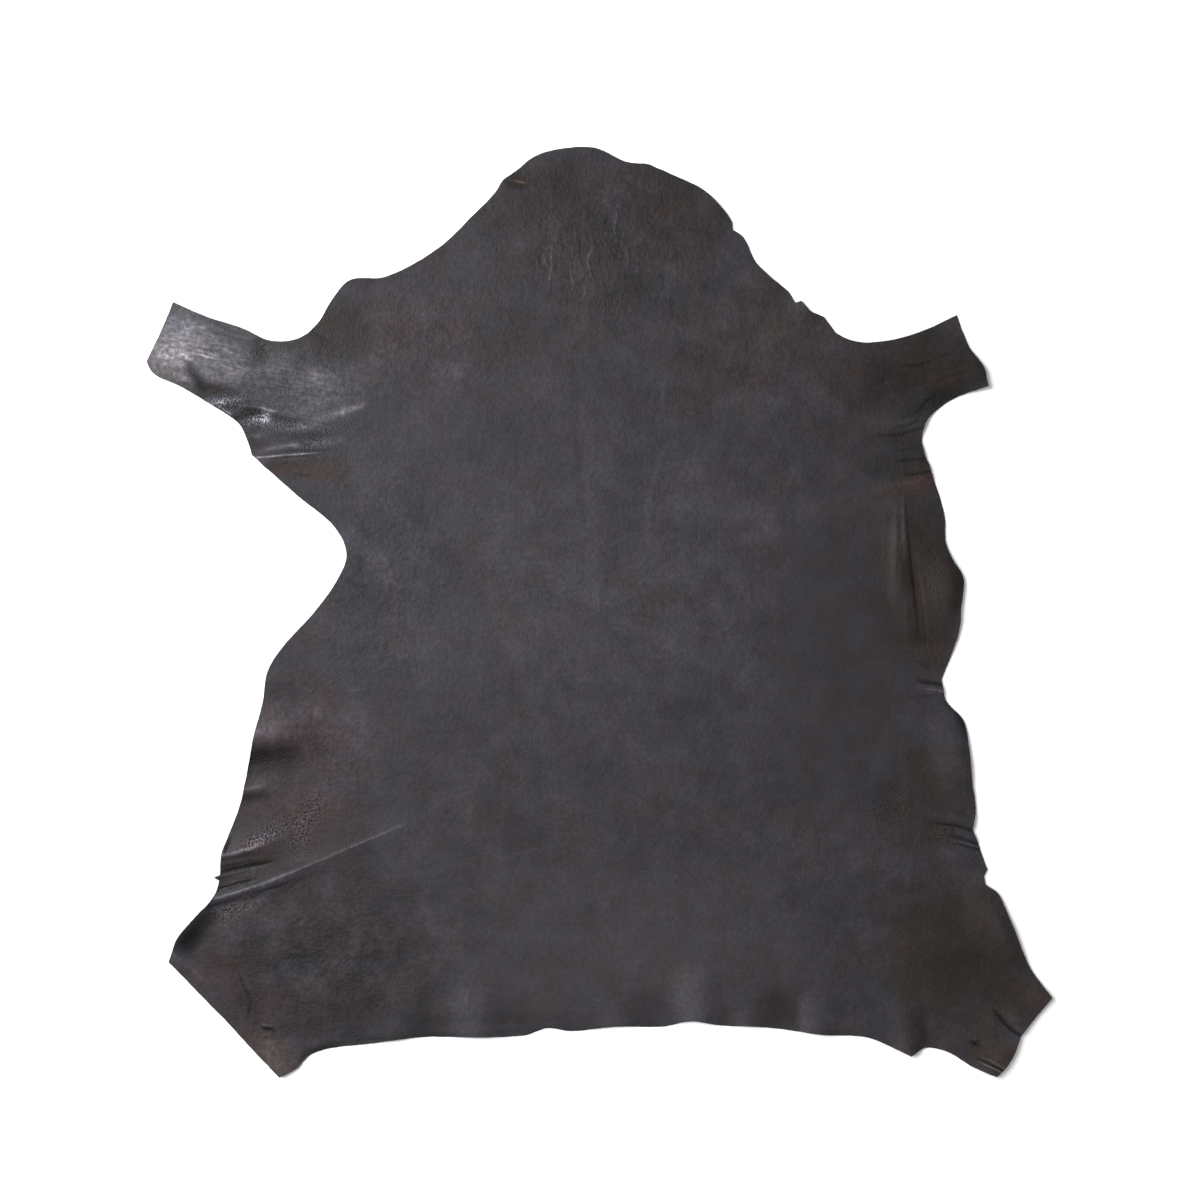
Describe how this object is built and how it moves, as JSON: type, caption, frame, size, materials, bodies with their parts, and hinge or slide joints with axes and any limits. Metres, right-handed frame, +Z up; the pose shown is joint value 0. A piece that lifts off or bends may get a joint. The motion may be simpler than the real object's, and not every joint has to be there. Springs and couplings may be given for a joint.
{
  "type": "leather hide",
  "caption": "Whole tanned sheepskin lying flat, grain side up, with its neck, shanks and flanks and a few soft folds at the edge.",
  "frame": {"origin": "middle of the bounding box, on the surface that the hide lies on", "axes": "+Y from the rump to the neck, +Z up out of the grain side, +X to the right of the grain side seen from above"},
  "size_m": [0.961, 0.9896, 0.0102],
  "materials": {
    "leather": "vegetable-tanned and waxed, fine grain, soft sheen, dark brown-grey"
  },
  "bodies": {
    "root": {"hide": "leather"}
  },
  "joints": []
}
